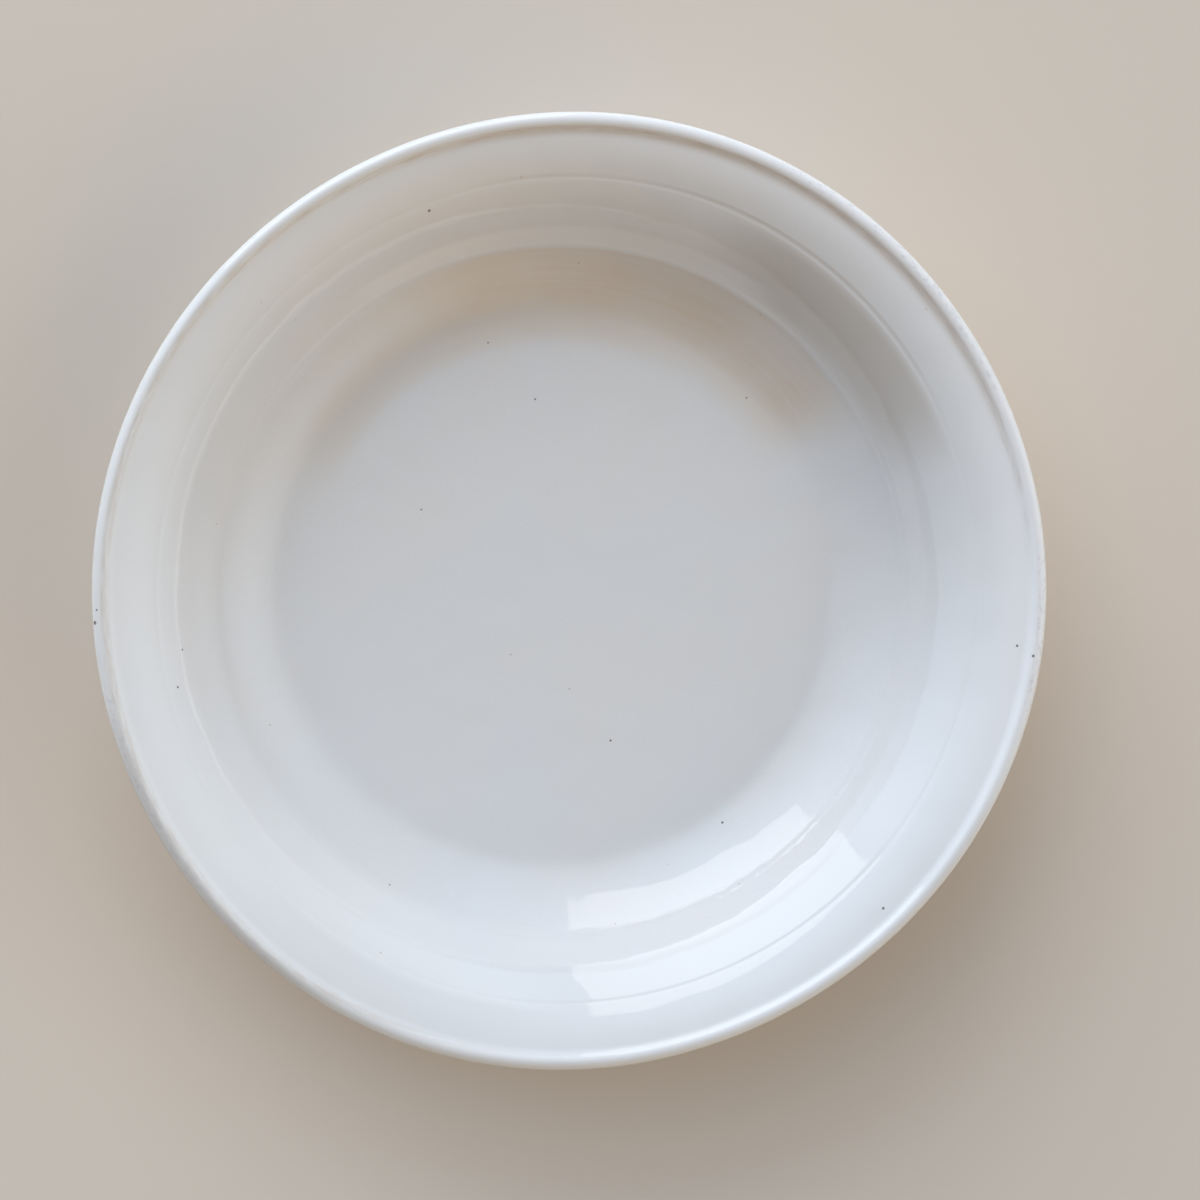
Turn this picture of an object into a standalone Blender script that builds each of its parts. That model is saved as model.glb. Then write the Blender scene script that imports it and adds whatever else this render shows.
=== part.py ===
"""A porcelain serving bowl: a fired clay body, its glass coat, and the pool of glaze inside its foot.

Blender 4.5, metres, +Z up. The bowl stands on z = 0 with its axis on the Z axis. Each part is a profile,
drawn in the XZ plane and turned once about Z by a Screw modifier.
"""

import math

import bpy

MM = 0.001

# Driving dimensions. A station is (radius, heading): the profile reaches that radius going that way,
# where 0 degrees is outwards, 90 is up, and the air is on the profile's left.
RIM_RADIUS = 127.5 * MM
RECESS_HEIGHT = 4.4 * MM
FLOOR_THICKNESS = 5.6 * MM
GLAZE_THICKNESS = 0.4 * MM
BOND_GAP = 0.05 * MM

FLOOR_RADIUS = 75.0 * MM
WELL_WALL = (
    (79.6 * MM, 19),
    (85.0 * MM, 28),
    (93.6 * MM, 43),
    (94.7 * MM, 52),
    (98.1 * MM, 53),
    (102.7 * MM, 47),
    (109.6 * MM, 36),
)
VERGE = ((110.2 * MM, 26), (110.8 * MM, 40), (111.5 * MM, 34))
LEDGE = ((115.0 * MM, 29), (121.5 * MM, 17))
RIM_BEAD = (
    (123.4 * MM, 45),
    (125.1 * MM, 0),
    (RIM_RADIUS, -90),
    (125.6 * MM, -166),
)
OUTSIDE = (
    (123.0 * MM, -158),
    (112.2 * MM, -146),
    (105.6 * MM, -131),
    (101.2 * MM, -126),
    (96.5 * MM, -128.5),
    (87.4 * MM, -155.5),
    (76.4 * MM, -170),
    (74.8 * MM, -98),
)

# Foot ring
GLAZE_LINE = 1.6 * MM
FOOT_EDGE = 0.7 * MM
RECESS_RADIUS = 69.0 * MM
RECESS_CORNER = 2.4 * MM

# Smoothness of the solids: facets in the turn, and the most degrees that one step of an arc turns
FACETS = 64
MOST_TURN = 24
MERGE_DISTANCE = 0.01 * MM

CERAMIC_COLOUR, CERAMIC_ROUGHNESS = (0.78, 0.74, 0.68, 1.0), 0.6
GLAZE_COLOUR, GLAZE_ROUGHNESS = (0.80, 0.81, 0.83, 1.0), 0.12
RECESS_COLOUR, RECESS_ROUGHNESS = (0.76, 0.77, 0.78, 1.0), 0.2


def clear_scene():
    for obj in list(bpy.data.objects):
        bpy.data.objects.remove(obj, do_unlink=True)


class Line:
    """A profile drawn as one smooth line of straight stretches and arcs. Each point keeps its heading."""

    def __init__(self, radius, height, heading):
        self.points = [(radius, height, heading)]

    def run_to_radius(self, radius):
        start, height, heading = self.points[-1]
        rise = (radius - start) * math.tan(math.radians(heading))
        self.points.append((radius, height + rise, heading))

    def run_to_height(self, height):
        radius, start, heading = self.points[-1]
        reach = (height - start) / math.tan(math.radians(heading))
        self.points.append((radius + reach, height, heading))

    def bend(self, radius, heading):
        """The one arc that leaves along the present heading and arrives at this radius and heading."""
        start, height, first = self.points[-1]
        sine, cosine = math.sin(math.radians(first)), math.cos(math.radians(first))
        bend_radius = (radius - start) / (math.sin(math.radians(heading)) - sine)
        steps = max(1, math.ceil(abs(heading - first) / MOST_TURN))
        for step in range(1, steps + 1):
            angle = first + (heading - first) * step / steps
            self.points.append((
                start + bend_radius * (math.sin(math.radians(angle)) - sine),
                height - bend_radius * (math.cos(math.radians(angle)) - cosine),
                angle,
            ))

    def bends(self, stations):
        """One arc to each of these (radius, heading) stations in turn."""
        for radius, heading in stations:
            self.bend(radius, heading)

    def corner(self, size, heading):
        """An arc of this radius, from the present heading to this one."""
        radius, _, first = self.points[-1]
        reach = abs(math.sin(math.radians(heading)) - math.sin(math.radians(first)))
        self.bend(radius - size * reach, heading)

    def inset(self, depth):
        """The same line, moved this far away from the air."""
        return [
            (
                radius + depth * math.sin(math.radians(heading)),
                height - depth * math.cos(math.radians(heading)),
                heading,
            )
            for radius, height, heading in self.points
        ]


def coat_line():
    """The glazed surface: from the middle of the floor, over the rim, and down to the foot's glaze line."""
    line = Line(0, RECESS_HEIGHT + FLOOR_THICKNESS, 0)
    line.run_to_radius(FLOOR_RADIUS)
    line.bends(WELL_WALL + VERGE + LEDGE + RIM_BEAD + OUTSIDE)
    line.run_to_height(GLAZE_LINE)
    return line


def recess_line():
    """The glazed surface inside the foot ring, from its glaze line to the axis."""
    line = Line(RECESS_RADIUS, GLAZE_LINE, -270)
    line.run_to_height(RECESS_HEIGHT - RECESS_CORNER)
    line.corner(RECESS_CORNER, -180)
    line.run_to_radius(0)
    return line


def foot_line(start, end):
    """The bare foot ring between two glaze lines: a flat resting face with rounded edges."""
    line = Line(*start)
    line.run_to_height(FOOT_EDGE * (1 + math.cos(math.radians(start[2]))))
    line.corner(FOOT_EDGE, -180)
    line.run_to_radius(end[0] + FOOT_EDGE)
    line.corner(FOOT_EDGE, end[2])
    return line.points[1:]


def skin(line):
    """The section, from axis to axis, of a glaze of even thickness under this surface."""
    back = line.inset(GLAZE_THICKNESS)[::-1]
    starts_on_axis = line.points[0][0] == 0
    return line.points + back if starts_on_axis else back + line.points


def body_section(coat, recess):
    """The clay under both glazes, and the bare foot between them."""
    under_coat = coat.inset(GLAZE_THICKNESS + BOND_GAP)
    under_recess = recess.inset(GLAZE_THICKNESS + BOND_GAP)
    return under_coat + foot_line(under_coat[-1], under_recess[0]) + under_recess


def material(name, colour, roughness):
    made = bpy.data.materials.new(name)
    made.use_nodes = True
    shader = made.node_tree.nodes["Principled BSDF"]
    shader.inputs["Base Color"].default_value = colour
    shader.inputs["Roughness"].default_value = roughness
    shader.inputs["Metallic"].default_value = 0.0
    made.diffuse_color = colour
    return made


def turned(name, section, finish, collection):
    """A named object: this section, which starts and ends on the axis, turned once about Z."""
    mesh = bpy.data.meshes.new(name)
    edges = [(i, i + 1) for i in range(len(section) - 1)]
    mesh.from_pydata([(radius, 0, height) for radius, height, _ in section], edges, [])
    mesh.materials.append(finish)
    obj = bpy.data.objects.new(name, mesh)
    collection.objects.link(obj)
    screw = obj.modifiers.new("Turn", "SCREW")
    screw.axis = "Z"
    screw.steps = screw.render_steps = FACETS
    screw.use_merge_vertices = True
    screw.merge_threshold = MERGE_DISTANCE
    return obj


def build():
    clear_scene()
    bowl = bpy.data.collections.new("Serving bowl")
    bpy.context.scene.collection.children.link(bowl)
    coat, recess = coat_line(), recess_line()
    fired_clay = material("Fired clay", CERAMIC_COLOUR, CERAMIC_ROUGHNESS)
    white_glaze = material("White glaze", GLAZE_COLOUR, GLAZE_ROUGHNESS)
    foot_glaze = material("Foot glaze", RECESS_COLOUR, RECESS_ROUGHNESS)
    turned("ceramic_body", body_section(coat, recess), fired_clay, bowl)
    turned("glaze_coat", skin(coat), white_glaze, bowl)
    turned("foot_recess_glaze", skin(recess), foot_glaze, bowl)


build()
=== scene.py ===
"""The looks of the porcelain serving bowl, built in Blender 4.5 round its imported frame.

Three turned pieces stand for the three CAD nodes, on the same profile but finely drawn: the bare clay, the
glass coat over it, and the glaze inside the foot. A hand-made unevenness moves all three alike.
"""

import math

import bpy
from mathutils import Matrix, Vector, noise


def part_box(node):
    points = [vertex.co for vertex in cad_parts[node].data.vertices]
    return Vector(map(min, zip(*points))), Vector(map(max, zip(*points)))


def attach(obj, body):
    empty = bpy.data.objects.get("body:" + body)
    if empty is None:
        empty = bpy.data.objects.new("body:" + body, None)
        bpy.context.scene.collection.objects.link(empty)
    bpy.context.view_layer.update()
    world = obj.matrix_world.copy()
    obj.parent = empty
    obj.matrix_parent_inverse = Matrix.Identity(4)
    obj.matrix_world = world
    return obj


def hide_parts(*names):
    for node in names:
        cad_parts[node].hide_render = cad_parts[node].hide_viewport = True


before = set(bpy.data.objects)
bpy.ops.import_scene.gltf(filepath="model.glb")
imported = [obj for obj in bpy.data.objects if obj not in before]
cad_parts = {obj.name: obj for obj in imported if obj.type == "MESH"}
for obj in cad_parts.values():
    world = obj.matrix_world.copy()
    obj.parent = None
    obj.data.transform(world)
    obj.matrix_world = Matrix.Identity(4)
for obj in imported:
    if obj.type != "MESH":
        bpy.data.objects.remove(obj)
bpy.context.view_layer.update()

COAT_LOW, COAT_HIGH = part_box("glaze_coat")
_, RECESS_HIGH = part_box("foot_recess_glaze")

# The frame's rim is 127.5 design millimetres out, and every size below is in those.
RIM_RADIUS = COAT_HIGH.x
MM = RIM_RADIUS / 127.5
RIM_TOP = COAT_HIGH.z
GLAZE_LINE = COAT_LOW.z
RECESS_RADIUS = RECESS_HIGH.x
GLAZE_THICKNESS = 0.4 * MM
BOND_GAP = 0.05 * MM

# Stations of the glazed surface: (radius, heading). Heading 0 is outwards and 90 is up, with the air on the
# left.
FLOOR_RADIUS = 75.0 * MM
WELL_WALL = (
    (79.6 * MM, 19),
    (85.0 * MM, 28),
    (93.6 * MM, 43),
    (94.7 * MM, 52),
    (98.1 * MM, 53),
    (102.7 * MM, 47),
    (109.6 * MM, 36),
)
VERGE = ((110.2 * MM, 26), (110.8 * MM, 40), (111.5 * MM, 34))
LEDGE = ((115.0 * MM, 29), (121.5 * MM, 17))
RIM_BEAD = (
    (123.4 * MM, 45),
    (125.1 * MM, 0),
    (RIM_RADIUS, -90),
    (125.6 * MM, -166),
)
OUTSIDE = (
    (123.0 * MM, -158),
    (112.2 * MM, -146),
    (105.6 * MM, -131),
    (101.2 * MM, -126),
    (96.5 * MM, -128.5),
    (87.4 * MM, -155.5),
    (76.4 * MM, -170),
    (74.8 * MM, -98),
)
FOOT_EDGE = 0.7 * MM
RECESS_CORNER = 2.4 * MM

# How finely the profile and the turn are drawn: degrees and metres in one step, and steps in the turn
MOST_TURN = 5
LONGEST_STEP = 2.4 * MM
SEGMENTS = 360
BACK_STEP = 3

# How closely the bend is followed along the profile, and the steps round the glaze's rounded edge
BEND_SPREAD = 0.6 * MM
LIP_STEPS = 5

# The well is a little off the rim's centre. The shift fades out below the inside floor and towards the rim.
INSIDE_SHIFT, INSIDE_SHIFT_AZIMUTH = 2.2 * MM, math.radians(170)
SHIFT_FULL_HEIGHT, SHIFT_NO_HEIGHT = 9.0 * MM, 6.0 * MM
SHIFT_FULL_RADIUS, SHIFT_NO_RADIUS = 80.0 * MM, 122.0 * MM

# The rim is slightly out of round, by waves of (count, size, azimuth of a crest). Their sum is never much
# above the highest value.
RIM_WAVES = ((2, 0.42 * MM, 29), (3, 0.13 * MM, 4), (4, 0.30 * MM, -15))
RIM_WAVES_HIGHEST = 0.51 * MM
ROUND_RADIUS = 0.6 * RIM_RADIUS

# The glaze lies in faint hollows, and its lower edge wavers, by waves of (length, share).
HOLLOW_SIZE, HOLLOW_DEPTH = 8 * MM, 0.12 * MM
GLAZE_LINE_WAVE, GLAZE_LINE_REACH = 0.5 * MM, 4 * MM
GLAZE_LINE_WAVES = ((12 * MM, 1.0), (4 * MM, 0.4))
ON_AXIS = 0.001 * MM


class Line:
    """A profile drawn as one smooth line of straight stretches and arcs. Each point keeps its heading."""

    def __init__(self, radius, height, heading):
        self.points = [(radius, height, heading)]

    def run_to(self, radius, height):
        """A straight stretch, cut into short steps, which keeps the present heading."""
        start, low, heading = self.points[-1]
        steps = max(1, math.ceil(math.hypot(radius - start, height - low) / LONGEST_STEP))
        for step in range(1, steps + 1):
            share = step / steps
            self.points.append((start + (radius - start) * share, low + (height - low) * share, heading))

    def run_to_radius(self, radius):
        start, height, heading = self.points[-1]
        self.run_to(radius, height + (radius - start) * math.tan(math.radians(heading)))

    def run_to_height(self, height):
        radius, start, heading = self.points[-1]
        self.run_to(radius + (height - start) / math.tan(math.radians(heading)), height)

    def bend(self, radius, heading):
        """The one arc that leaves along the present heading and arrives at this radius and heading."""
        start, height, first = self.points[-1]
        sine, cosine = math.sin(math.radians(first)), math.cos(math.radians(first))
        bend_radius = (radius - start) / (math.sin(math.radians(heading)) - sine)
        length = abs(bend_radius * math.radians(heading - first))
        steps = max(2, math.ceil(abs(heading - first) / MOST_TURN), math.ceil(length / LONGEST_STEP))
        for step in range(1, steps + 1):
            angle = first + (heading - first) * step / steps
            self.points.append((
                start + bend_radius * (math.sin(math.radians(angle)) - sine),
                height - bend_radius * (math.cos(math.radians(angle)) - cosine),
                angle,
            ))

    def bends(self, stations):
        for radius, heading in stations:
            self.bend(radius, heading)

    def corner(self, size, heading):
        """An arc of this radius, from the present heading to this one."""
        radius, _, first = self.points[-1]
        reach = abs(math.sin(math.radians(heading)) - math.sin(math.radians(first)))
        self.bend(radius - size * reach, heading)

    def lift(self, rise):
        self.points = [(radius, height + rise, heading) for radius, height, heading in self.points]

    def inset(self, depth):
        """The same line, moved this far away from the air."""
        return [
            (
                radius + depth * math.sin(math.radians(heading)),
                height - depth * math.cos(math.radians(heading)),
                heading,
            )
            for radius, height, heading in self.points
        ]


def coat_line():
    """The glazed surface, from the middle of the floor over the rim, hung from the frame's rim height."""
    line = Line(0, 0, 0)
    line.run_to_radius(FLOOR_RADIUS)
    line.bends(WELL_WALL + VERGE + LEDGE + RIM_BEAD + OUTSIDE)
    line.lift(RIM_TOP - max(height for _, height, _ in line.points))
    line.run_to_height(GLAZE_LINE)
    return line


def recess_line():
    """The glazed surface inside the foot ring, from its glaze line to the axis."""
    ceiling = RECESS_HIGH.z - GLAZE_THICKNESS
    line = Line(RECESS_RADIUS - GLAZE_THICKNESS, GLAZE_LINE, -270)
    line.run_to_height(ceiling - RECESS_CORNER)
    line.corner(RECESS_CORNER, -180)
    line.run_to_radius(0)
    return line


def foot_line(start, end):
    """The bare foot ring between two glaze lines: a flat resting face with rounded edges."""
    line = Line(*start)
    line.run_to_height(FOOT_EDGE * (1 + math.cos(math.radians(start[2]))))
    line.corner(FOOT_EDGE, -180)
    line.run_to_radius(end[0] + FOOT_EDGE)
    line.corner(FOOT_EDGE, end[2])
    return line.points[1:]


def bend_rates(section):
    """How sharply the line turns at each point, in degrees per millimetre, evened out over a short way."""
    lengths = lengths_of(section)
    turns = [
        ((s0 + s1) / 2, b[2] - a[2])
        for a, b, s0, s1 in zip(section, section[1:], lengths, lengths[1:])
    ]
    rates = []
    for length in lengths:
        total = sum(turn * math.exp(-((length - place) / BEND_SPREAD) ** 2 / 2) for place, turn in turns)
        rates.append(total / (BEND_SPREAD / MM * math.sqrt(2 * math.pi)))
    return rates


def lengths_of(section):
    """How far along the line each of its points is."""
    lengths = [0.0]
    for (r0, h0, _), (r1, h1, _) in zip(section, section[1:]):
        lengths.append(lengths[-1] + math.hypot(r1 - r0, h1 - h0))
    return lengths


def slope(value, low, high):
    """0 at low and 1 at high, with a straight slope between. Low may be above high."""
    return min(1.0, max(0.0, (value - low) / (high - low)))


def direction(azimuth, elevation):
    """The unit vector that points this way, in degrees."""
    a, e = math.radians(azimuth), math.radians(elevation)
    return Vector((math.cos(a) * math.cos(e), math.sin(a) * math.cos(e), math.sin(e)))


def out_of_round(azimuth):
    """How far the rim falls short of its full radius there. It is never negative."""
    waves = sum(size * math.cos(count * (azimuth - math.radians(first))) for count, size, first in RIM_WAVES)
    return max(0.0, RIM_WAVES_HIGHEST - waves)


def moved(radius, azimuth, height, wavy_edge):
    """Where a point of the turned shape lies on the uneven bowl, which stays in the turned shape's box."""
    shift = INSIDE_SHIFT * slope(height, SHIFT_NO_HEIGHT, SHIFT_FULL_HEIGHT)
    shift *= slope(radius, SHIFT_NO_RADIUS, SHIFT_FULL_RADIUS)
    radius -= out_of_round(azimuth) * slope(radius, ROUND_RADIUS, RIM_RADIUS) ** 2
    x = radius * math.cos(azimuth) + shift * math.cos(INSIDE_SHIFT_AZIMUTH)
    y = radius * math.sin(azimuth) + shift * math.sin(INSIDE_SHIFT_AZIMUTH)
    if height > RECESS_HIGH.z + FOOT_EDGE:
        height += HOLLOW_DEPTH * (noise.noise(Vector((x, y, height)) / HOLLOW_SIZE) - 1)
    if wavy_edge:
        wave = sum(share * noise.noise(Vector((x, y, 0)) / length) for length, share in GLAZE_LINE_WAVES)
        height += GLAZE_LINE_WAVE * wave * slope(height, GLAZE_LINE + GLAZE_LINE_REACH, GLAZE_LINE)
    return x, y, height


def ring_faces(first, count, next_first, next_count):
    """The faces between one ring of points and the next. Either may be a single point on the axis."""
    for i in range(SEGMENTS):
        j = (i + 1) % SEGMENTS
        here = first + i % count, first + j % count
        there = next_first + i % next_count, next_first + j % next_count
        yield list(dict.fromkeys((here[0], there[0], there[1], here[1])))


def turned(name, section, material, wavy_edge=False):
    """A smooth mesh: this section, which starts and ends on the axis, turned about Z and made uneven."""
    verts, faces, rings = [], [], []
    along, turn = [], []
    for (radius, height, _), length, rate in zip(section, lengths_of(section), bend_rates(section)):
        count = 1 if radius < ON_AXIS else SEGMENTS
        rings.append((len(verts), count))
        for i in range(count):
            verts.append(moved(radius, 2 * math.pi * i / SEGMENTS, height, wavy_edge))
        along += [length] * count
        turn += [rate] * count
    for ring, after in zip(rings, rings[1:]):
        faces += ring_faces(*ring, *after)
    mesh = bpy.data.meshes.new(name)
    mesh.from_pydata(verts, [], faces)
    for attribute, values in (("along", along), ("turn", turn)):
        mesh.attributes.new(attribute, "FLOAT", "POINT").data.foreach_set("value", values)
    mesh.materials.append(material)
    mesh.shade_smooth()
    obj = bpy.data.objects.new(name, mesh)
    bpy.context.scene.collection.objects.link(obj)
    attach(obj, "root")
    return obj


def lip(end):
    """The glaze's rounded edge, from this last point of its surface round to its back."""
    radius, height, heading = end
    half = GLAZE_THICKNESS / 2
    normal = math.radians(heading + 90)
    centre = (radius - half * math.cos(normal), height - half * math.sin(normal))
    points = []
    for step in range(1, LIP_STEPS):
        angle = normal - math.pi * step / LIP_STEPS
        points.append((
            centre[0] + half * math.cos(angle),
            centre[1] + half * math.sin(angle),
            heading - 180 * step / LIP_STEPS,
        ))
    return points


def lip_before(start):
    """The rounded edge, from the glaze's back round to this first point of its surface."""
    radius, height, heading = start
    back = (
        radius + GLAZE_THICKNESS * math.sin(math.radians(heading)),
        height - GLAZE_THICKNESS * math.cos(math.radians(heading)),
        heading - 180,
    )
    return lip(back)


def coarse(points):
    """Every few points of a line, with its first and last."""
    return points[:-1:BACK_STEP] + points[-1:]


class Shading:
    """Short calls that add nodes to a node tree. Each gives back an output that any other call can take."""

    def __init__(self, tree):
        self.tree = tree

    def add(self, kind, inputs, output=0, **settings):
        node = self.tree.nodes.new("ShaderNode" + kind)
        for name, value in settings.items():
            setattr(node, name, value)
        for name, value in inputs.items():
            self.plug(node.inputs[name], value)
        return node.outputs[output]

    def plug(self, socket, value):
        if isinstance(value, bpy.types.NodeSocket):
            self.tree.links.new(value, socket)
        else:
            socket.default_value = value

    def math(self, operation, a, b=0.0):
        return self.add("Math", {0: a, 1: b}, operation=operation)

    def times(self, first, *others):
        for other in others:
            first = self.math("MULTIPLY", first, other)
        return first

    def plus(self, first, *others):
        for other in others:
            first = self.math("ADD", first, other)
        return first

    def mix(self, factor, a, b):
        return self.add("Mix", {0: factor, 6: a, 7: b}, output=2, data_type="RGBA")

    def parts(self, vector):
        node = self.add("SeparateXYZ", {0: vector}).node
        return node.outputs["X"], node.outputs["Y"], node.outputs["Z"]

    def step(self, value, low, high):
        """0 below low and 1 above high, with a smooth slope between. Low may be above high."""
        return self.add("MapRange", {0: value, 1: low, 2: high}, interpolation_type="SMOOTHSTEP")

    def band(self, value, centre, half, soft):
        """1 within half of the centre, falling to 0 over the soft distance outside it."""
        away = self.math("ABSOLUTE", self.math("SUBTRACT", value, centre))
        return self.step(away, half + soft, half)

    def noise(self, vector, size, detail=2.0, roughness=0.5):
        inputs = {"Vector": vector, "Scale": 1 / size, "Detail": detail, "Roughness": roughness}
        return self.add("TexNoise", inputs)

    def cells(self, vector, size, feature="F1"):
        """The distance to the nearest of a scatter of points, or to the nearest edge between their cells."""
        return self.add("TexVoronoi", {"Vector": vector, "Scale": 1 / size}, feature=feature)


class Surface(Shading):
    """A piece's material, with the coordinates that its patterns use."""

    def __init__(self, name):
        self.material = bpy.data.materials.new(name)
        self.material.use_nodes = True
        super().__init__(self.material.node_tree)
        self.shader = self.tree.nodes["Principled BSDF"]
        self.place = self.add("TexCoord", {}, output="Object")
        self.along = self.add("Attribute", {}, output="Fac", attribute_name="along")
        self.turn = self.add("Attribute", {}, output="Fac", attribute_name="turn")
        self.plan = self.add("VectorMath", {0: self.place, 1: (1, 1, 0)}, operation="MULTIPLY")
        self.outward = self.add("VectorMath", {0: self.plan}, operation="NORMALIZE")

    def set(self, **inputs):
        for name, value in inputs.items():
            self.plug(self.shader.inputs[name.replace("_", " ")], value)

    def sector(self, azimuth, half, soft):
        """1 within half degrees of this azimuth, falling to 0 over the soft angle."""
        inputs = {0: self.outward, 1: direction(azimuth, 0)}
        cosine = self.add("VectorMath", inputs, "Value", operation="DOT_PRODUCT")
        return self.step(cosine, math.cos(math.radians(half + soft)), math.cos(math.radians(half)))

    def streaks(self, around, across, detail=2.0):
        """Noise drawn out along the turn: so long round the rim, and so wide across the profile."""
        rim = self.add("VectorMath", {0: self.outward, "Scale": RIM_RADIUS / around}, operation="SCALE")
        lift = self.add("CombineXYZ", {"Z": self.math("DIVIDE", self.along, across)})
        return self.noise(self.add("VectorMath", {0: rim, 1: lift}, operation="ADD"), 1.0, detail)

    def bump(self, height):
        """Turns a height in metres into a normal."""
        return self.add("Bump", {"Height": height, "Distance": 1.0})

    def patches(self, size, detail, roughness, low, high):
        """Patches of about this size: 0 where the noise is below low, and 1 where it is above high."""
        return self.step(self.noise(self.place, size, detail, roughness), low, high)

    def streaked(self, around, across, detail, low, high):
        """The same, drawn out along the turn."""
        return self.step(self.streaks(around, across, detail), low, high)

    def spot(self, centre, radius):
        away = self.add("VectorMath", {0: self.place, 1: centre}, "Value", operation="DISTANCE")
        return self.step(away, radius, radius / 2)

    def lay(self, colour, cover, strength, paint):
        """This paint laid over the colour at the given strength, where the cover is 1."""
        return self.mix(self.times(cover, strength), colour, paint)


def reach(section, radius):
    """How far along the section it first gets to this radius."""
    for point, length in zip(section, lengths_of(section)):
        if point[0] >= radius:
            return length
    return length


def on_glaze(coat, radius, azimuth):
    """The point of the glazed inside at this radius and azimuth."""
    before, after = next(pair for pair in zip(coat.points, coat.points[1:]) if pair[1][0] >= radius)
    height = before[1] + (after[1] - before[1]) * slope(radius, before[0], after[0])
    return Vector(moved(radius, math.radians(azimuth), height, False))


# Stations of the profile that the marks on the glaze are measured from
CREASE, VERGE_LINE, GROOVE, CREST = WELL_WALL[3][0], VERGE[1][0], RIM_BEAD[0][0], RIM_BEAD[1][0]

WHITE, WARM_WHITE = (0.800, 0.805, 0.805, 1), (0.815, 0.800, 0.780, 1)
CREAM, TAN = (0.80, 0.74, 0.64, 1), (0.75, 0.65, 0.54, 1)
SHADE = (0.62, 0.57, 0.51, 1)
# BROWN is stain and foxing; the second colour is painted shade on the bead's outer half.
BROWN, BEAD_SHADE = (0.46, 0.33, 0.21, 1), (0.40, 0.35, 0.30, 1)
GREY_VIOLET = (0.46, 0.43, 0.47, 1)
# DULL is painted shade; BRIGHT and BRIGHTEST are painted light.
DULL, BRIGHT, BRIGHTEST = (0.50, 0.50, 0.50, 1), (0.85, 0.85, 0.84, 1), (0.89, 0.88, 0.87, 1)
IRON = (0.10, 0.07, 0.06, 1)

# Patches in a glaze: (size, detail, roughness, noise at which they start, noise at which they are full)
BLOTCHES = (45 * MM, 3.0, 0.5, 0.3, 0.7)
GRAIN, GRAIN_STRENGTH = (0.7 * MM, 3.0, 0.7, 0.35, 0.65), 0.11
SMUDGES = (30 * MM, 4.0, 0.6, 0.35, 0.75)
STAIN_SHADE_PATCHES = (32 * MM, 2.0, 0.5, -0.3, 0.7)

# Streaks in the glaze: (length round the rim, width, detail, noise at which they start, noise at which they
# are full)
STAIN_SHADE_STREAKS, STAIN_SHADE_STREAK_LOW, STAIN_SHADE_STREAK_RISE = (45 * MM, 1.5 * MM, 3.0, 0.35, 0.65), 0.85, 0.2
GROOVE_STREAKS = (7 * MM, 0.8 * MM, 5.0, 0.25, 0.78)
SEAM_STREAKS = (60 * MM, 3.0 * MM, 2.0, 0.1, 0.8)
RUB_STREAKS = (2.0 * MM, 1.2 * MM, 5.0, 0.48, 0.72)

# How sharply the glaze bends where it starts to be drawn thin, and where it is thinnest, in degrees per
# millimetre. An outward bend is negative.
THIN_FROM, THINNEST, THIN_STRENGTH = -4.0, -22.0, 0.35

# A side of the bowl is a sector: (azimuth, half its angle, soft end), in degrees. An edge is where the paint
# starts, and where it is full. A wandering edge follows noise: (size, detail, roughness).
# The tan below the crease is a stain and also painted shade on that side, from its ragged upper edge to its
# soft lower edge.
STAIN_SHADE_SIDES = ((65, 24, 42), (100, 58, 16))
STAIN_SHADE_EDGE, STAIN_SHADE_EDGE_NOISE, STAIN_SHADE_EDGE_WANDER = (0.3 * MM, 1.5 * MM), (5 * MM, 3.0, 0.5), 1.2 * MM
STAIN_SHADE_FADE, STAIN_SHADE_DEEPENS, STAIN_SHADE_AT_EDGE = (34 * MM, 14 * MM), 14 * MM, 0.6

# Shade that the photograph has and the studio's light doesn't give, painted into the glaze: dark on the
# upper wall on that side, and pale on the ledge above it
SHADE_SIDE, SHADE_STRENGTH = (44, 9, 19), 0.75
SHADE_LOWER_EDGE, SHADE_UPPER_EDGE = (91 * MM, 99 * MM), (111.2 * MM, 107.4 * MM)
LEDGE_SIDE, LEDGE_EDGE = (35, 25, 50), (VERGE[2][0], 120 * MM)

# More of it at the front, slightly dark: on the upper wall, and on the ledge
FRONT_WALL_SIDE, FRONT_WALL_EDGE = (-68, 18, 18), (100.3 * MM, 101.2 * MM)
FRONT_LEDGE_SIDE, FRONT_LEDGE_EDGE = (-82, 38, 25), (110 * MM, 112.5 * MM)
FRONT_STRENGTH = 0.18

# A painted reflection edge part way up the wall: a painted highlight along it, and painted shade just inside
# it. Its circle is off-centre from above.
REFLECTION_EDGE_CENTRE, REFLECTION_EDGE_RADIUS = (-2.5 * MM, -0.1 * MM, 0), 104.5 * MM
REFLECTION_EDGE_NOISE, REFLECTION_EDGE_WANDER = (16 * MM, 4.0, 0.6), 2.6 * MM
REFLECTION_SHADE_WIDTH, REFLECTION_SHADE_STRENGTH = 10 * MM, 0.05
REFLECTION_EDGE_SOFTNESS, REFLECTION_HIGHLIGHT_STRENGTH = 0.4 * MM, 0.60

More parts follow.
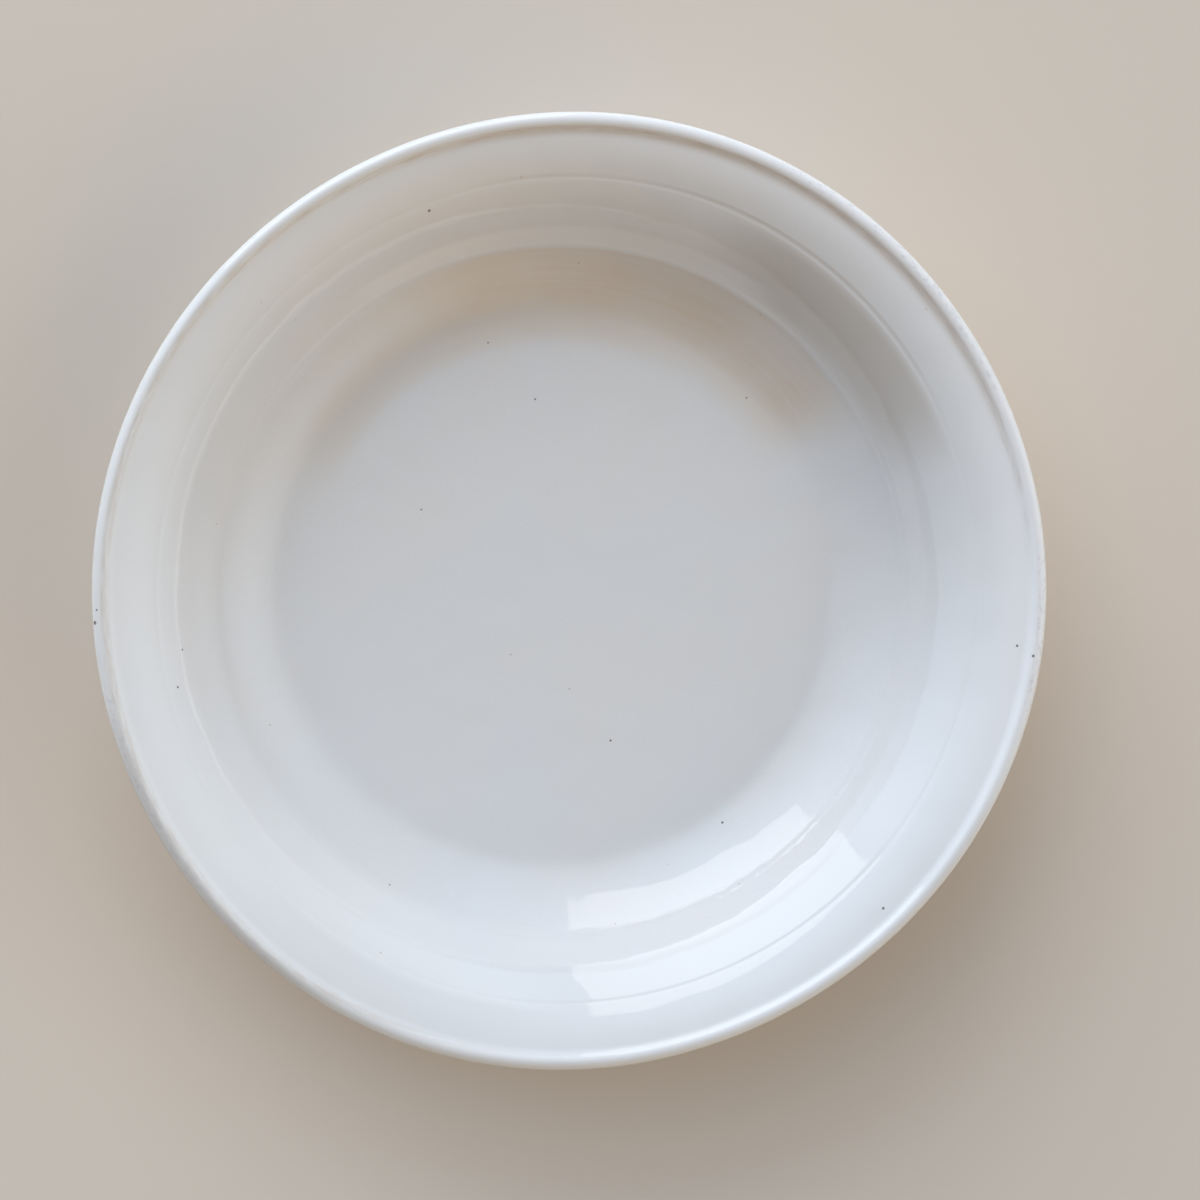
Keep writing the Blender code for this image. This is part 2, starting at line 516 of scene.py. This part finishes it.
# Soft tints that run part of the way round. The tan is a stain at the floor's edge and also painted warm
# shade in that corner, and the brown is painted shade over the foxing, where the real groove is wider. The
# bright ones are painted light, and match the photograph's shade.
# Each is (radius of a station, distance out from it along the surface, half the width, soft edge, side,
# strength, paint).
RING_TINTS = (
    (0, 76 * MM, 3 * MM, 7 * MM, (112, 28, 22), 0.55, TAN),
    (CREASE, 3.5 * MM, 1.5 * MM, 3 * MM, (92, 26, 14), 0.7, BRIGHTEST),
    (CREASE, 0.1 * MM, 0.3 * MM, 0.8 * MM, (95, 35, 20), 0.6, BRIGHTEST),
    (101 * MM, 0, 6 * MM, 6 * MM, (-150, 26, 22), 0.4, BRIGHTEST),
    (VERGE_LINE, -0.5 * MM, 0.1 * MM, 0.4 * MM, (65, 18, 25), 0.6, BRIGHTEST),
    (GROOVE, -0.9 * MM, 0.4 * MM, 2.2 * MM, (66, 22, 32), 0.30, BROWN),
    (CREST, 0, 1.0 * MM, 1.2 * MM, (-78, 30, 15), 0.45, BRIGHTEST),
)

# Foxing along the groove, which on one side creeps out over the bead, and a seam just outside the verge
GROOVE_SIDE, GROOVE_STRENGTH = (130, 110, 25), 0.35
GROOVE_LINE, GROOVE_HALF, GROOVE_SOFT = -0.6 * MM, 0.1 * MM, 1.7 * MM
GROOVE_OUT_SIDE, GROOVE_OUT = (-170, 30, 50), 1.6 * MM
SEAM_SIDE, SEAM_STRENGTH = (65, 18, 25), 0.3
SEAM_LINE, SEAM_HALF, SEAM_SOFT = 0.6 * MM, 0.1 * MM, 0.6 * MM

# Rub marks along the bead's crest, and painted shade, tinged brown, over its outer half
RUB_SIDES, RUB_STRENGTH = ((45, 12, 12), (-5, 7, 6), (-150, 14, 10)), 0.35
RUB_LINE, RUB_HALF, RUB_SOFT = 0.8 * MM, 0.8 * MM, 0.8 * MM
BEAD_SHADE_SIDE, BEAD_SHADE_STRENGTH = (-145, 8, 18), 0.34
BEAD_SHADE_INNER_EDGE, BEAD_SHADE_OUTER_EDGE = (-0.9 * MM, 0.5 * MM), (9 * MM, 4 * MM)

# Faint specks, which are scattered evenly, and iron spots: (radius, azimuth, size across)
SPECK_SPACING, SPECK_EDGE, SPECK_STRENGTH = 11 * MM, (0.034, 0.012), 0.6
IRON_STRENGTH = 0.85
IRON_SPOTS = (
    (126.9 * MM, -177, 1.4 * MM),
    (126.2 * MM, -178.5, 0.7 * MM),
    (120.4 * MM, -7, 0.9 * MM),
    (124.5 * MM, -8, 1.0 * MM),
    (119.8 * MM, -46, 1.0 * MM),
    (108.6 * MM, 111, 1.0 * MM),
    (107.9 * MM, -167, 0.8 * MM),
    (104.8 * MM, -172, 0.7 * MM),
    (80.5 * MM, -55, 0.9 * MM),
    (93.5 * MM, -121, 0.6 * MM),
    (52.7 * MM, 97, 0.7 * MM),
    (43.8 * MM, 150, 0.6 * MM),
    (45.0 * MM, -71, 0.8 * MM),
    (75.0 * MM, 45, 0.6 * MM),
    (70.5 * MM, 106, 0.6 * MM),
)

# The glaze's gloss and its fine relief
GLAZE_ROUGHNESS, SMUDGE_ROUGHNESS, STAIN_ROUGHNESS, RUB_ROUGHNESS = 0.02, 0.04, 0.25, 0.3
GLASS_IOR = 1.5
PEEL_NOISE, PEEL_HEIGHT = (3.2 * MM, 3.0), 0.012 * MM
RIDGE_LENGTH, RIDGE_WIDTH, RIDGE_HEIGHT = 60 * MM, 1.6 * MM, 0.005 * MM
RIDGES_START = (FLOOR_RADIUS, FLOOR_RADIUS + 10 * MM)
BEAD_NOISE, BEAD_HEIGHT = (3.5 * MM, 3.0, 0.6), 0.10 * MM
BEADS_HALF, BEADS_SOFT = 0.8 * MM, 1.6 * MM


def glaze_material(coat):
    """Old white glaze: blotched, cream where it runs thin, stained in the groove and on one side, rubbed,
    with painted shade and light.
    """
    glaze = Surface("White glaze")
    colour = clean_glaze(glaze)
    colour = wall_stain_and_shade(glaze, coat, colour)
    # Painted reflection edge: painted shade inside it, and a painted highlight along it
    colour = painted_reflection_edge(glaze, colour)
    colour = side_shade(glaze, coat, colour)
    for tint in RING_TINTS:
        colour = ring_tint(glaze, coat, colour, *tint)
    colour = front_shade(glaze, coat, colour)
    stained, colour = groove_stain(glaze, coat, colour)
    rubbed, colour = rim_rubs_and_shade(glaze, coat, colour)
    colour = iron_specks(glaze, coat, colour)
    roughness = glaze.plus(
        GLAZE_ROUGHNESS,
        glaze.times(glaze.patches(*SMUDGES), SMUDGE_ROUGHNESS),
        glaze.times(stained, STAIN_ROUGHNESS),
        glaze.times(rubbed, RUB_ROUGHNESS),
    )
    relief = glaze.bump(glaze_relief(glaze, coat))
    glaze.set(Base_Color=colour, Roughness=roughness, Normal=relief, IOR=GLASS_IOR)
    return glaze.material


def glaze_relief(glaze, coat):
    """The glaze's fine relief: orange peel, turning ridges on the wall, and beads along the crease."""
    peel = glaze.times(glaze.noise(glaze.place, *PEEL_NOISE), PEEL_HEIGHT)
    ridges = glaze.times(glaze.streaks(RIDGE_LENGTH, RIDGE_WIDTH), RIDGE_HEIGHT)
    ridges = glaze.times(ridges, glaze.step(glaze.along, *RIDGES_START))
    beads = glaze.times(glaze.noise(glaze.place, *BEAD_NOISE), BEAD_HEIGHT)
    beads = glaze.times(beads, glaze.band(glaze.along, reach(coat.points, CREASE), BEADS_HALF, BEADS_SOFT))
    return glaze.plus(peel, ridges, beads)


def beyond(glaze, coat, start, full):
    """0 on the inside as far as the start radius, and 1 past the full radius. Start may be the larger."""
    return glaze.step(glaze.along, reach(coat.points, start), reach(coat.points, full))


def clean_glaze(glaze):
    """The glaze's own white, uneven at two scales, and cream where it is drawn thin over an edge."""
    colour = glaze.mix(glaze.patches(*BLOTCHES), WHITE, WARM_WHITE)
    colour = glaze.lay(colour, glaze.patches(*GRAIN), GRAIN_STRENGTH, TAN)
    return glaze.lay(colour, glaze.step(glaze.turn, THIN_FROM, THINNEST), THIN_STRENGTH, CREAM)


def wall_stain_and_shade(glaze, coat, colour):
    """A patchy, streaky tan on one side, between the crease and the floor: a stain, and painted shade there
    too.
    """
    wander = glaze.times(glaze.noise(glaze.place, *STAIN_SHADE_EDGE_NOISE), STAIN_SHADE_EDGE_WANDER)
    under = glaze.math("SUBTRACT", reach(coat.points, CREASE), glaze.plus(glaze.along, wander))
    deepens = glaze.times(glaze.step(under, 0.0, STAIN_SHADE_DEEPENS), 1 - STAIN_SHADE_AT_EDGE)
    streaks = glaze.times(glaze.streaked(*STAIN_SHADE_STREAKS), STAIN_SHADE_STREAK_RISE)
    cover = glaze.times(
        glaze.step(under, *STAIN_SHADE_EDGE),
        glaze.step(under, *STAIN_SHADE_FADE),
        glaze.plus(deepens, STAIN_SHADE_AT_EDGE),
        glaze.plus(streaks, STAIN_SHADE_STREAK_LOW),
        glaze.patches(*STAIN_SHADE_PATCHES),
        *(glaze.sector(*side) for side in STAIN_SHADE_SIDES),
    )
    return glaze.mix(cover, colour, TAN)


def painted_reflection_edge(glaze, colour):
    """A painted reflection edge part way up the wall: a painted highlight along it, and painted shade just
    under it.
    """
    wander = glaze.times(glaze.noise(glaze.place, *REFLECTION_EDGE_NOISE), REFLECTION_EDGE_WANDER)
    away = glaze.add("VectorMath", {0: glaze.plan, 1: REFLECTION_EDGE_CENTRE}, "Value", operation="DISTANCE")
    past = glaze.math("SUBTRACT", glaze.plus(away, wander), REFLECTION_EDGE_RADIUS)
    colour = glaze.lay(colour, glaze.step(past, -REFLECTION_SHADE_WIDTH, 0.0), REFLECTION_SHADE_STRENGTH, DULL)
    return glaze.lay(colour, glaze.step(past, -REFLECTION_EDGE_SOFTNESS, REFLECTION_EDGE_SOFTNESS), REFLECTION_HIGHLIGHT_STRENGTH, BRIGHT)


def side_shade(glaze, coat, colour):
    """The photograph's shade on one side: a dark upper wall, and a pale ledge above it."""
    shade = glaze.times(
        beyond(glaze, coat, *SHADE_LOWER_EDGE),
        beyond(glaze, coat, *SHADE_UPPER_EDGE),
        glaze.sector(*SHADE_SIDE),
    )
    colour = glaze.lay(colour, shade, SHADE_STRENGTH, SHADE)
    ledge = glaze.times(beyond(glaze, coat, *LEDGE_EDGE), glaze.sector(*LEDGE_SIDE))
    return glaze.mix(ledge, colour, BRIGHTEST)


def front_shade(glaze, coat, colour):
    """The photograph's shade at the front, on the upper wall and on the ledge."""
    front_wall = glaze.times(beyond(glaze, coat, *FRONT_WALL_EDGE), glaze.sector(*FRONT_WALL_SIDE))
    front_ledge = glaze.times(beyond(glaze, coat, *FRONT_LEDGE_EDGE), glaze.sector(*FRONT_LEDGE_SIDE))
    return glaze.lay(colour, glaze.math("MAXIMUM", front_wall, front_ledge), FRONT_STRENGTH, DULL)


def ring_tint(glaze, coat, colour, radius, offset, half, soft, side, strength, paint):
    """A soft tint along part of a ring, at this distance from the station at this radius."""
    band = glaze.band(glaze.along, reach(coat.points, radius) + offset, half, soft)
    return glaze.lay(colour, glaze.times(band, glaze.sector(*side)), strength, paint)


def groove_stain(glaze, coat, colour):
    """Foxing, which creeps along the groove inside the rim, and just outside the verge on one side."""
    creep = glaze.times(glaze.sector(*GROOVE_OUT_SIDE), GROOVE_OUT)
    line = glaze.plus(reach(coat.points, GROOVE) + GROOVE_LINE, creep)
    band = glaze.band(glaze.along, line, GROOVE_HALF, GROOVE_SOFT)
    stain = glaze.times(band, glaze.streaked(*GROOVE_STREAKS), glaze.sector(*GROOVE_SIDE))
    colour = glaze.lay(colour, stain, GROOVE_STRENGTH, BROWN)
    seam = glaze.band(glaze.along, reach(coat.points, VERGE_LINE) + SEAM_LINE, SEAM_HALF, SEAM_SOFT)
    seam = glaze.times(seam, glaze.sector(*SEAM_SIDE), glaze.streaked(*SEAM_STREAKS))
    return stain, glaze.lay(colour, seam, SEAM_STRENGTH, BROWN)


def rim_rubs_and_shade(glaze, coat, colour):
    """Grey rub marks on the rim's crest, as if from stacking and handling, and painted shade outside it."""
    crest = reach(coat.points, CREST)
    worn = glaze.plus(*(glaze.sector(*side) for side in RUB_SIDES))
    rubbed = glaze.times(
        glaze.band(glaze.along, crest + RUB_LINE, RUB_HALF, RUB_SOFT), worn, glaze.streaked(*RUB_STREAKS)
    )
    bead_shade = glaze.times(
        glaze.step(glaze.along, *(crest + edge for edge in BEAD_SHADE_INNER_EDGE)),
        glaze.step(glaze.along, *(crest + edge for edge in BEAD_SHADE_OUTER_EDGE)),
        glaze.sector(*BEAD_SHADE_SIDE),
    )
    colour = glaze.lay(colour, bead_shade, BEAD_SHADE_STRENGTH, BEAD_SHADE)
    return rubbed, glaze.lay(colour, rubbed, RUB_STRENGTH, GREY_VIOLET)


def iron_specks(glaze, coat, colour):
    """A scatter of faint specks, and the few larger spots."""
    specks = glaze.step(glaze.cells(glaze.place, SPECK_SPACING), *SPECK_EDGE)
    colour = glaze.lay(colour, specks, SPECK_STRENGTH, BROWN)
    for radius, azimuth, size in IRON_SPOTS:
        spot = glaze.spot(on_glaze(coat, radius, azimuth), size / 2)
        colour = glaze.lay(colour, spot, IRON_STRENGTH, IRON)
    return colour


CLAY, PALE_CLAY = (0.66, 0.57, 0.46, 1), (0.76, 0.69, 0.59, 1)
SCORCHED_CLAY, WORN_CLAY, CLAY_SPECK = (0.62, 0.48, 0.36, 1), (0.36, 0.33, 0.30, 1), (0.20, 0.13, 0.09, 1)
CLAY_GRAIN_NOISE, CLAY_GRAIN_EDGE = (0.5 * MM, 4.0, 0.7), (0.3, 0.7)
SCORCH_NOISE, SCORCH_EDGE, SCORCH_STRENGTH = (14 * MM, 3.0), (0.4, 0.8), 0.5
WEAR_HEIGHT, WEAR_STRENGTH = 0.5 * MM, 0.5
WEAR_PATCHES = (3 * MM, 4.0, 0.5, 0.45, 0.6)
CLAY_SPECK_SPACING, CLAY_SPECK_EDGE = 2.2 * MM, (0.10, 0.05)
CLAY_ROUGHNESS, GRAIN_ROUGHNESS = 0.62, 0.25
CLAY_GRAIN_HEIGHT, SCORCH_HEIGHT = 0.06 * MM, 0.05 * MM


def clay_material():
    """Bare fired clay: cream, fine-grained and matt, with dark specks and grey wear on the resting face."""
    clay = Surface("Fired clay")
    grain = clay.noise(clay.place, *CLAY_GRAIN_NOISE)
    scorch = clay.noise(clay.place, *SCORCH_NOISE)
    colour = clay.mix(clay.step(grain, *CLAY_GRAIN_EDGE), CLAY, PALE_CLAY)
    colour = clay.lay(colour, clay.step(scorch, *SCORCH_EDGE), SCORCH_STRENGTH, SCORCHED_CLAY)
    _, _, height = clay.parts(clay.place)
    worn = clay.times(clay.step(height, WEAR_HEIGHT, 0.0), clay.patches(*WEAR_PATCHES))
    colour = clay.lay(colour, worn, WEAR_STRENGTH, WORN_CLAY)
    specks = clay.step(clay.cells(clay.place, CLAY_SPECK_SPACING), *CLAY_SPECK_EDGE)
    colour = clay.mix(specks, colour, CLAY_SPECK)
    bumps = clay.plus(clay.times(grain, CLAY_GRAIN_HEIGHT), clay.times(scorch, SCORCH_HEIGHT))
    roughness = clay.plus(CLAY_ROUGHNESS, clay.times(grain, GRAIN_ROUGHNESS))
    clay.set(Base_Color=colour, Roughness=roughness, Normal=clay.bump(bumps))
    return clay.material


FOOT_GREY, FOOT_WARM = (0.74, 0.75, 0.75, 1), (0.76, 0.74, 0.70, 1)
FOOT_BLOTCHES = (25 * MM, 3.0, 0.5, 0.3, 0.7)
PINHOLE, PINHOLE_SPACING, PINHOLE_EDGE = (0.40, 0.33, 0.26, 1), 5 * MM, (0.06, 0.03)
PINHOLE_STRENGTH, PINHOLE_DEPTH = 0.5, 0.05 * MM
CRAZE, CRAZE_SPACING, CRAZE_EDGE, CRAZE_STRENGTH = (0.55, 0.47, 0.36, 1), 9 * MM, (0.016, 0.004), 0.35
FOOT_PEEL_SIZE, FOOT_PEEL_HEIGHT = 2.2 * MM, 0.02 * MM
FOOT_ROUGHNESS, FOOT_BLOTCH_ROUGHNESS = 0.10, 0.06


def foot_glaze_material():
    """The glaze inside the foot: greyer, crazed and pinholed."""
    glaze = Surface("Foot glaze")
    blotches = glaze.patches(*FOOT_BLOTCHES)
    colour = glaze.mix(blotches, FOOT_GREY, FOOT_WARM)
    pinholes = glaze.step(glaze.cells(glaze.place, PINHOLE_SPACING), *PINHOLE_EDGE)
    colour = glaze.lay(colour, pinholes, PINHOLE_STRENGTH, PINHOLE)
    crazing = glaze.step(glaze.cells(glaze.place, CRAZE_SPACING, "DISTANCE_TO_EDGE"), *CRAZE_EDGE)
    colour = glaze.lay(colour, crazing, CRAZE_STRENGTH, CRAZE)
    peel = glaze.times(glaze.noise(glaze.place, FOOT_PEEL_SIZE), FOOT_PEEL_HEIGHT)
    height = glaze.math("SUBTRACT", peel, glaze.times(pinholes, PINHOLE_DEPTH))
    roughness = glaze.plus(FOOT_ROUGHNESS, glaze.times(blotches, FOOT_BLOTCH_ROUGHNESS))
    glaze.set(Base_Color=colour, Roughness=roughness, Normal=glaze.bump(height), IOR=GLASS_IOR)
    return glaze.material


def bowl():
    coat, recess = coat_line(), recess_line()
    coat_back, recess_back = coat.inset(GLAZE_THICKNESS), recess.inset(GLAZE_THICKNESS)
    clay_coat = coarse(coat.inset(GLAZE_THICKNESS + BOND_GAP))
    clay_recess = coarse(recess.inset(GLAZE_THICKNESS + BOND_GAP))

    skin = coat.points + lip(coat.points[-1]) + coarse(coat_back)[::-1]
    glaze = turned("glaze_skin", skin, glaze_material(coat), wavy_edge=True)
    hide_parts("glaze_coat")

    section = clay_coat + foot_line(clay_coat[-1], clay_recess[0]) + clay_recess
    clay = turned("clay_body", section, clay_material())
    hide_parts("ceramic_body")

    inside = coarse(recess_back)[::-1] + lip_before(recess.points[0]) + recess.points
    foot = turned("foot_glaze_pool", inside, foot_glaze_material(), wavy_edge=True)
    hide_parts("foot_recess_glaze")


# The studio
FLOOR_SIZE = 8.0
FLOOR_COLOUR = (0.76, 0.67, 0.57, 1)
FLOOR_ROUGHNESS, FLOOR_SPECULAR = 0.9, 0.2
CAMERA_LENS, SENSOR_WIDTH = 75, 36
CAMERA_TILT, CAMERA_AZIMUTH, CAMERA_DISTANCE = 8.2, 163, 660.4 * MM
CAMERA_AIM = Vector((4.74 * MM, -1.46 * MM, RIM_TOP))
WINDOW_AZIMUTH, WINDOW_DISTANCE = 97, 2.0
WINDOW_RIGHT, WINDOW_LEFT = -13, 37
WINDOW_LOW, WINDOW_HIGH = 4, 42.5
WINDOW_RADIANCE = (2.2, 2.15, 2.1)
NEARLY_UPRIGHT = 0.9


def facing(location, toward):
    """A matrix at this location whose local Z points this way, with local X level or along the world's X."""
    z = toward.normalized()
    x = Vector((0, 0, 1)).cross(z) if abs(z.z) < NEARLY_UPRIGHT else Vector((0, 1, 0)).cross(z)
    x.normalize()
    y = z.cross(x)
    return Matrix((
        (x.x, y.x, z.x, location.x),
        (x.y, y.y, z.y, location.y),
        (x.z, y.z, z.z, location.z),
        (0, 0, 0, 1),
    ))


def place(name, data, matrix):
    """A new object with this data, at this matrix."""
    obj = bpy.data.objects.new(name, data)
    bpy.context.scene.collection.objects.link(obj)
    obj.matrix_world = matrix
    return obj


def floor():
    mesh = bpy.data.meshes.new("floor")
    half = FLOOR_SIZE / 2
    corners = [(-half, -half, 0), (half, -half, 0), (half, half, 0), (-half, half, 0)]
    mesh.from_pydata(corners, [], [(0, 1, 2, 3)])
    material = bpy.data.materials.new("Pale floor")
    material.use_nodes = True
    shader = material.node_tree.nodes["Principled BSDF"]
    shader.inputs["Base Color"].default_value = FLOOR_COLOUR
    shader.inputs["Roughness"].default_value = FLOOR_ROUGHNESS
    shader.inputs["Specular IOR Level"].default_value = FLOOR_SPECULAR
    mesh.materials.append(material)
    place("floor", mesh, Matrix.Identity(4))


def window():
    """A softbox in a plane beside the bowl, like a window in a wall. Its angles are seen from the rim."""
    right, left, low, high = (
        WINDOW_DISTANCE * math.tan(math.radians(angle))
        for angle in (WINDOW_RIGHT, WINDOW_LEFT, WINDOW_LOW, WINDOW_HIGH)
    )
    light = bpy.data.lights.new("window", "AREA")
    light.shape = "RECTANGLE"
    light.size, light.size_y = left - right, high - low
    strength = max(WINDOW_RADIANCE)
    light.color = [value / strength for value in WINDOW_RADIANCE]
    light.energy = strength * light.size * light.size_y * math.pi
    away, along = direction(WINDOW_AZIMUTH, 0), direction(WINDOW_AZIMUTH + 90, 0)
    middle = Vector((0, 0, RIM_TOP + (low + high) / 2))
    centre = away * WINDOW_DISTANCE + along * (left + right) / 2 + middle
    place("window", light, facing(centre, away))


def camera():
    lens = bpy.data.cameras.new("camera")
    lens.lens, lens.sensor_width = CAMERA_LENS, SENSOR_WIDTH
    back = direction(CAMERA_AZIMUTH, 90 - CAMERA_TILT)
    bpy.context.scene.camera = place("camera", lens, facing(CAMERA_AIM + back * CAMERA_DISTANCE, back))


# The room's soft light: broad glows of (azimuth, elevation, tightness, radiance), whose radiances were
# fitted to the photograph's brightness, then the pale foot of its walls, a little light from below the
# floor, and the plain backdrop that the camera sees
ROOM_GLOWS = (
    (127, 30, 4, (1.73, 2.03, 2.45)),
    (0, 30, 8, (1.58, 1.79, 2.02)),
    (-60, 30, 8, (1.20, 0.78, 0.32)),
)
SKIRTING = (1.9, 1.9, 1.8)
SKIRTING_FULL, SKIRTING_NONE = math.radians(2), math.radians(6)
BELOW_FLOOR, BELOW_FULL, BELOW_NONE = (0.7, 0.7, 0.7, 1), math.radians(-9), math.radians(-5)
BACKDROP = (0.80, 0.78, 0.75, 1)


def glow(air, look, azimuth, elevation, tightness, radiance):
    """A glow that is brightest in one direction, and dimmer by this power of the cosine away from it."""
    inputs = {0: look, 1: direction(azimuth, elevation)}
    toward = air.add("VectorMath", inputs, "Value", operation="DOT_PRODUCT")
    share = air.math("POWER", air.math("MAXIMUM", toward, 0.0), tightness)
    return air.add("VectorMath", {0: radiance, "Scale": share}, operation="SCALE")


def room():
    world = bpy.data.worlds.new("room")
    world.use_nodes = True
    bpy.context.scene.world = world
    air = Shading(world.node_tree)
    look = air.add("TexCoord", {}, output="Generated")
    _, _, up = air.parts(look)
    low = air.add("MapRange", {0: up, 1: SKIRTING_NONE, 2: SKIRTING_FULL})
    light = air.add("VectorMath", {0: SKIRTING, "Scale": low}, operation="SCALE")
    for values in ROOM_GLOWS:
        light = air.add("VectorMath", {0: light, 1: glow(air, look, *values)}, operation="ADD")
    light = air.mix(air.step(up, BELOW_NONE, BELOW_FULL), light, BELOW_FLOOR)
    seen = air.add("LightPath", {}, output="Is Camera Ray")
    air.plug(world.node_tree.nodes["Background"].inputs["Color"], air.mix(seen, light, BACKDROP))


bowl()
floor()
window()
camera()
room()
bpy.context.scene.view_settings.view_transform = "Standard"
